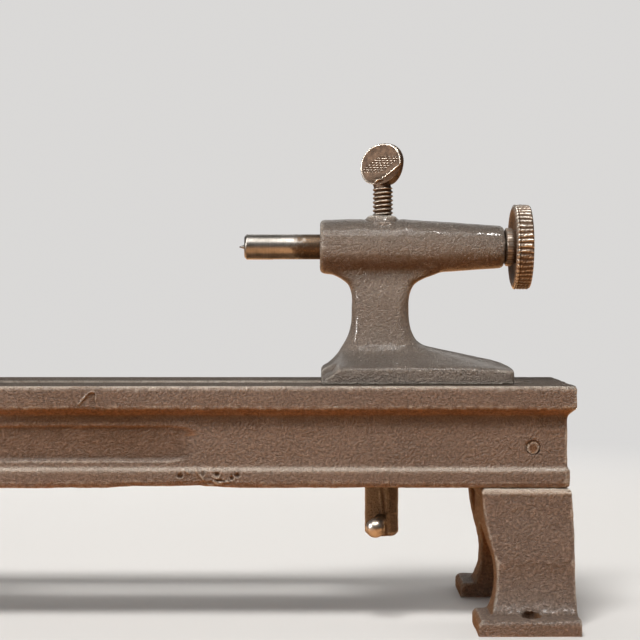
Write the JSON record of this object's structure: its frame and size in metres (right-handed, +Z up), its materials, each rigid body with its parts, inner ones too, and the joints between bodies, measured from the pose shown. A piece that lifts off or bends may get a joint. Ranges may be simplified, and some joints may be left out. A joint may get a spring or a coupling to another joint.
{
  "type": "bench lathe",
  "caption": "Small bench lathe: a slotted channel bed on two cast legs, a headstock with a stepped pulley, a sliding tool rest and a sliding tailstock with a screw-fed quill.",
  "frame": {"origin": "centre of the four bench-bolt holes, on the bench plane under the feet", "axes": "+X along the bed from the headstock to the tailstock, -Y towards the operator, +Z up"},
  "size_m": [0.3877, 0.0937, 0.1423],
  "materials": {
    "casting": "satin silver-grey paint over grainy sand castings",
    "bright_steel": "turned, worn bright",
    "plain_steel": "plain, slightly dulled",
    "browned_steel": "browned by age, worn on the high spots",
    "bronze": "plain bearing bronze",
    "brass_cups": "dulled brass",
    "pulley_alloy": "turned casting"
  },
  "bodies": {
    "frame": {"bed": "casting", "left_leg": "casting", "right_leg": "casting", "leg_pins": "casting", "headstock_body": "casting", "front_bush": "bronze", "rear_bush": "bronze", "oil_cups": "brass_cups", "headstock_bolts": "plain_steel", "headstock_clamp_plates": "plain_steel"},
    "spindle": {"spindle": "bright_steel", "step_pulley": "pulley_alloy", "pulley_set_screw": "plain_steel", "thrust_collar": "bright_steel", "collar_set_screw": "plain_steel", "spur_centre": "bright_steel"},
    "rest_slide": {"rest_clamp_plate": "plain_steel"},
    "rest_turn": {"rest_clamp_bolt": "plain_steel", "rest_washer": "plain_steel"},
    "rest_carriage": {"rest_base": "casting"},
    "rest_post": {"tool_rest": "casting"},
    "rest_lock": {"rest_lock_screw": "browned_steel"},
    "rest_handle": {"rest_lever_nut": "casting", "rest_lever": "bright_steel"},
    "tailstock": {"tailstock_body": "casting", "quill_key_pin": "plain_steel", "tail_clamp_stud": "plain_steel", "tail_clamp_plate": "plain_steel"},
    "feed": {"feed_screw": "plain_steel", "handwheel": "browned_steel", "handwheel_pin": "plain_steel"},
    "quill": {"quill": "bright_steel"},
    "quill_lock": {"quill_lock_screw": "browned_steel"},
    "tail_handle": {"tail_lever_nut": "casting", "tail_lever": "bright_steel"}
  },
  "joints": [
    {"name": "spindle_spin", "type": "hinge", "parent": "frame", "child": "spindle", "pos_m": [-0.142, 0, 0.1108], "axis": [1, 0, 0], "continuous": true},
    {"name": "rest_along_bed", "type": "slide", "parent": "frame", "child": "rest_slide", "axis": [1, 0, 0], "range_m": [-0.032, 0.04]},
    {"name": "rest_swivel", "type": "hinge", "parent": "rest_slide", "child": "rest_turn", "pos_m": [-0.014, 0, 0.0698], "axis": [0, 0, 1], "range_deg": [-25, 25]},
    {"name": "rest_across_bed", "type": "slide", "parent": "rest_turn", "child": "rest_carriage", "axis": [0, 1, 0], "range_m": [-0.014, 0.002]},
    {"name": "rest_height", "type": "slide", "parent": "rest_carriage", "child": "rest_post", "axis": [0, 0, 1], "range_m": [-0.003, 0.006]},
    {"name": "rest_lock_turn", "type": "hinge", "parent": "rest_carriage", "child": "rest_lock", "pos_m": [-0.014, -0.035, 0.0838], "axis": [0, -1, 0], "range_deg": [0, 180]},
    {"name": "rest_clamp_turn", "type": "hinge", "parent": "rest_slide", "child": "rest_handle", "pos_m": [-0.014, 0, 0.04], "axis": [0, 0, 1], "range_deg": [-120, 0]},
    {"name": "tailstock_along_bed", "type": "slide", "parent": "frame", "child": "tailstock", "axis": [1, 0, 0], "range_m": [-0.095, 0.014]},
    {"name": "handwheel_spin", "type": "hinge", "parent": "tailstock", "child": "feed", "pos_m": [0.1718, 0, 0.1108], "axis": [1, 0, 0], "range_deg": [-1700, 5100]},
    {"name": "quill_slide", "type": "slide", "parent": "tailstock", "child": "quill", "axis": [1, 0, 0], "range_m": [-0.006, 0.018]},
    {"name": "quill_lock_turn", "type": "hinge", "parent": "tailstock", "child": "quill_lock", "pos_m": [0.13505, 0, 0.1108], "axis": [0, 0, 1], "range_deg": [0, 180]},
    {"name": "tail_clamp_turn", "type": "hinge", "parent": "tailstock", "child": "tail_handle", "pos_m": [0.1347, 0, 0.04], "axis": [0, 0, 1], "range_deg": [-120, 0]}
  ],
  "couplings": [
    {"joint": "quill_slide", "follows": "handwheel_spin", "m_per_rad": 0.00020213}
  ]
}
